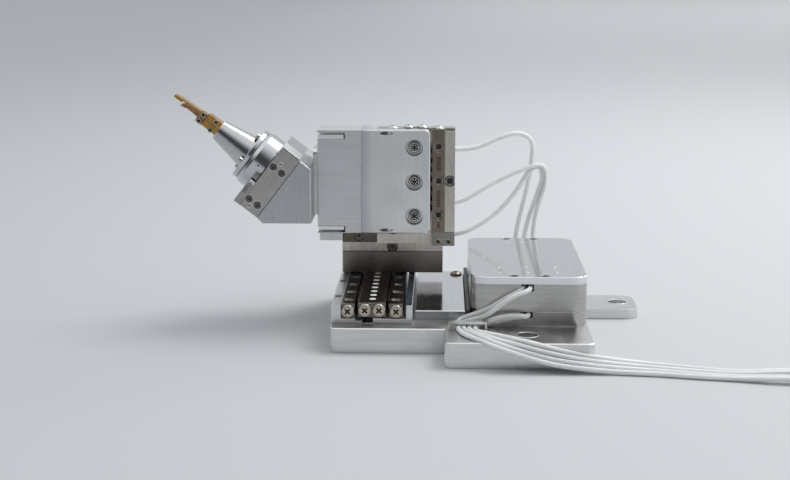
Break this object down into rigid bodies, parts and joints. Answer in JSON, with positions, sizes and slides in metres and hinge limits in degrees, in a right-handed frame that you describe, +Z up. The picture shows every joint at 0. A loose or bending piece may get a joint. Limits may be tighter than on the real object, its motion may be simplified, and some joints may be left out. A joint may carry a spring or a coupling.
{
  "type": "micromanipulator",
  "caption": "Compact motorised micromanipulator: three stacked crossed-roller slides, tilted rotary head with a two-jaw gripper, base plate and control box.",
  "frame": {"origin": "axis of the front mounting hole at the underside of the base plate", "axes": "+X to the right along the cross slide, +Y back along the lowest slide, +Z up along the mounting hole"},
  "size_m": [0.1777, 0.1045, 0.0665],
  "materials": {
    "machined_aluminium": "fine brushed",
    "screw_steel": "bright",
    "rail_steel": "ground, warm grey",
    "scale_glass": "glossy",
    "drive_ceramic": "matt",
    "polished_aluminium": "polished",
    "board_green": "solder mask",
    "white_silicone": "satin",
    "white_nylon": "moulded",
    "cage_brass": "satin",
    "turned_steel": "turned and polished",
    "gilt_brass": "machined",
    "jaw_copper": "formed strip"
  },
  "bodies": {
    "base": {"base_plate": "machined_aluminium", "base_bottom_screws": "screw_steel", "guide_bed": "machined_aluminium", "y_outer_rail_left": "rail_steel", "y_outer_rail_right": "rail_steel", "base_rail_screws": "screw_steel", "base_end_screws": "screw_steel", "encoder_scale": "scale_glass", "y_drive": "drive_ceramic", "side_plate": "polished_aluminium", "cable_clamp": "machined_aluminium", "box_base": "machined_aluminium", "box_body": "machined_aluminium", "box_lid": "polished_aluminium", "circuit_board": "board_green", "cover_screws": "screw_steel", "loop_cable_1": "white_silicone", "loop_cable_2": "white_silicone", "loop_cable_3": "white_silicone", "lead_cable_1": "white_silicone", "lead_cable_2": "white_silicone", "lead_cable_3": "white_silicone", "lead_cable_4": "white_silicone", "lead_plugs": "white_nylon"},
    "y_cage": {"y_cage": "cage_brass"},
    "y_carriage": {"y_centre_rail": "rail_steel", "carriage_bracket": "machined_aluminium", "x_channel": "machined_aluminium", "x_outer_rails": "rail_steel", "carriage_rail_screws": "screw_steel", "carriage_end_screws": "screw_steel", "x_drive": "drive_ceramic"},
    "x_cage": {"x_cage": "cage_brass"},
    "x_table": {"x_centre_rail": "rail_steel", "z_channel": "machined_aluminium", "z_outer_rail_left": "rail_steel", "z_outer_rail_right": "rail_steel", "z_stop_block": "machined_aluminium", "table_rail_screws": "screw_steel", "table_end_screws": "screw_steel", "z_drive": "drive_ceramic"},
    "z_cage": {"z_cage": "cage_brass"},
    "z_table": {"z_centre_rail": "rail_steel", "z_table_plate": "machined_aluminium", "table_plate_screws": "screw_steel", "head_end_screws": "screw_steel", "head_block": "machined_aluminium", "clip_bars": "polished_aluminium", "adapter_plate": "machined_aluminium", "wedge": "machined_aluminium", "rotary_housing": "machined_aluminium", "index_cover": "machined_aluminium", "housing_screws": "screw_steel"},
    "rotor": {"rotor_ring": "turned_steel", "tool_flange": "turned_steel", "nose_cone": "turned_steel", "gripper_body": "gilt_brass", "tool_screws": "screw_steel"},
    "upper_jaw": {"upper_jaw": "gilt_brass"},
    "lower_jaw": {"lower_jaw": "jaw_copper"}
  },
  "joints": [
    {"name": "y_slide", "type": "slide", "parent": "base", "child": "y_carriage", "axis": [0, 1, 0], "range_m": [-0.008, 0.008], "deforming": ["loop_cable_1", "loop_cable_2", "loop_cable_3"]},
    {"name": "y_cage_slide", "type": "slide", "parent": "base", "child": "y_cage", "axis": [0, 1, 0], "range_m": [-0.004, 0.004]},
    {"name": "x_slide", "type": "slide", "parent": "y_carriage", "child": "x_table", "axis": [1, 0, 0], "range_m": [-0.005, 0.005]},
    {"name": "x_cage_slide", "type": "slide", "parent": "y_carriage", "child": "x_cage", "axis": [1, 0, 0], "range_m": [-0.0025, 0.0025]},
    {"name": "z_slide", "type": "slide", "parent": "x_table", "child": "z_table", "axis": [0, 0, 1], "range_m": [-0.005, 0.005]},
    {"name": "z_cage_slide", "type": "slide", "parent": "x_table", "child": "z_cage", "axis": [0, 0, 1], "range_m": [-0.0025, 0.0025]},
    {"name": "head_rotation", "type": "hinge", "parent": "z_table", "child": "rotor", "pos_m": [-0.0689, 0.0461, 0.0415], "axis": [-0.7934, 0, 0.6088], "continuous": true},
    {"name": "upper_jaw_pivot", "type": "hinge", "parent": "rotor", "child": "upper_jaw", "pos_m": [-0.09215, 0.0461, 0.06065], "axis": [0, 1, 0], "range_deg": [0, 5]},
    {"name": "lower_jaw_pivot", "type": "hinge", "parent": "rotor", "child": "lower_jaw", "pos_m": [-0.09349, 0.0461, 0.0589], "axis": [0, 1, 0], "range_deg": [-5, 0]}
  ],
  "couplings": [
    {"joint": "y_cage_slide", "follows": "y_slide", "ratio": 0.5},
    {"joint": "x_cage_slide", "follows": "x_slide", "ratio": 0.5},
    {"joint": "z_cage_slide", "follows": "z_slide", "ratio": 0.5},
    {"joint": "lower_jaw_pivot", "follows": "upper_jaw_pivot", "ratio": -1}
  ]
}
